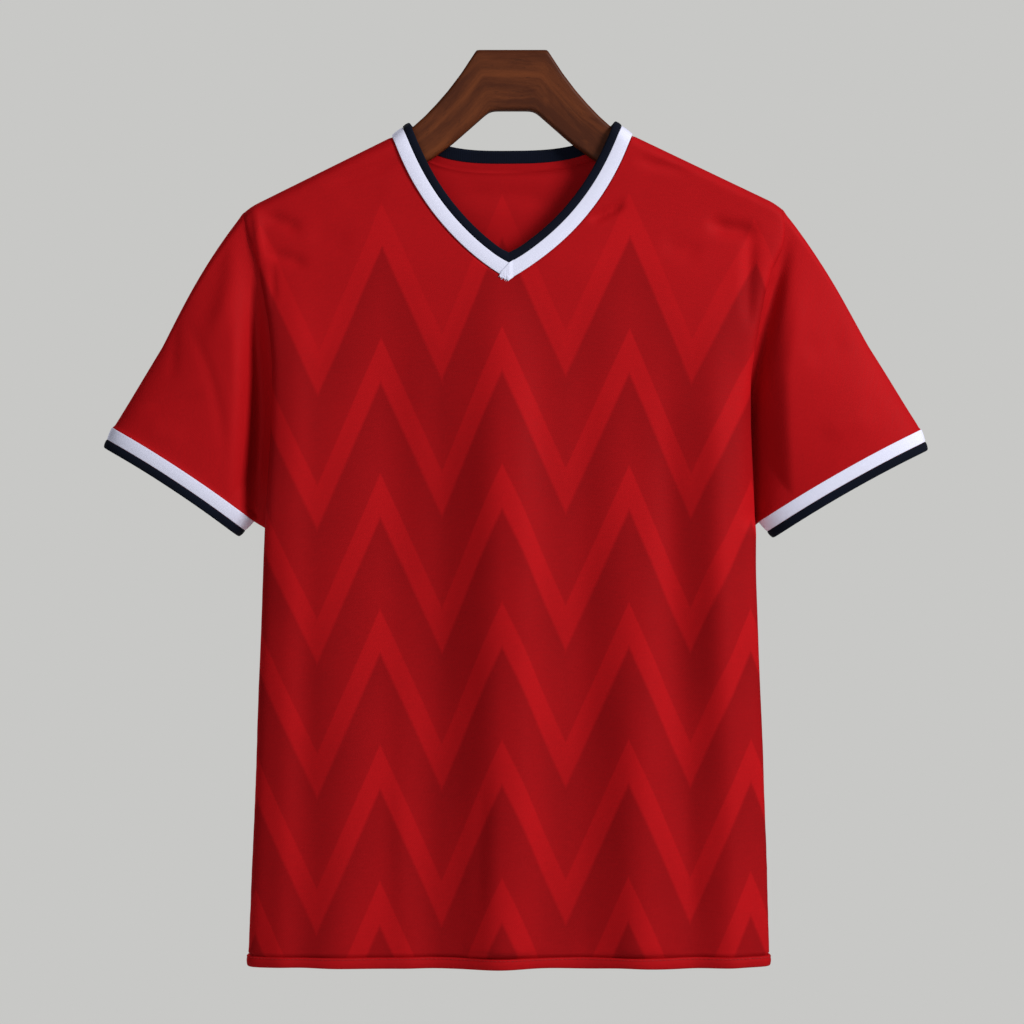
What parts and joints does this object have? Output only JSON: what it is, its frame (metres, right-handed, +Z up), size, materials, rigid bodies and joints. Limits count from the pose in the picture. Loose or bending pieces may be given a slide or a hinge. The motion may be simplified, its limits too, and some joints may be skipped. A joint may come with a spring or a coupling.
{
  "type": "football jersey on a wooden hanger",
  "caption": "Short-sleeved football jersey with a V neck collar and striped cuffs, hanging open on a flat wooden hanger.",
  "frame": {"origin": "middle of the flat top of the hanger's head, where the jersey is held up", "axes": "+Z up, the jersey's front faces -Y, +X towards the wearer's left sleeve"},
  "size_m": [0.7116, 0.0672, 0.7894],
  "materials": {
    "red_knit": "fine polyester knit with a soft sheen and a tonal zigzag",
    "white_rib": "matt white rib knit",
    "navy_rib": "matt navy rib knit",
    "walnut_wood": "satin walnut with the grain along the arms"
  },
  "bodies": {
    "root": {"front": "red_knit", "back": "red_knit", "sleeve_right": "red_knit", "sleeve_left": "red_knit", "hem": "red_knit", "collar_white": "white_rib", "collar_navy": "navy_rib", "cuff_white_right": "white_rib", "cuff_white_left": "white_rib", "cuff_navy_right": "navy_rib", "cuff_navy_left": "navy_rib", "hanger": "walnut_wood"}
  },
  "joints": []
}
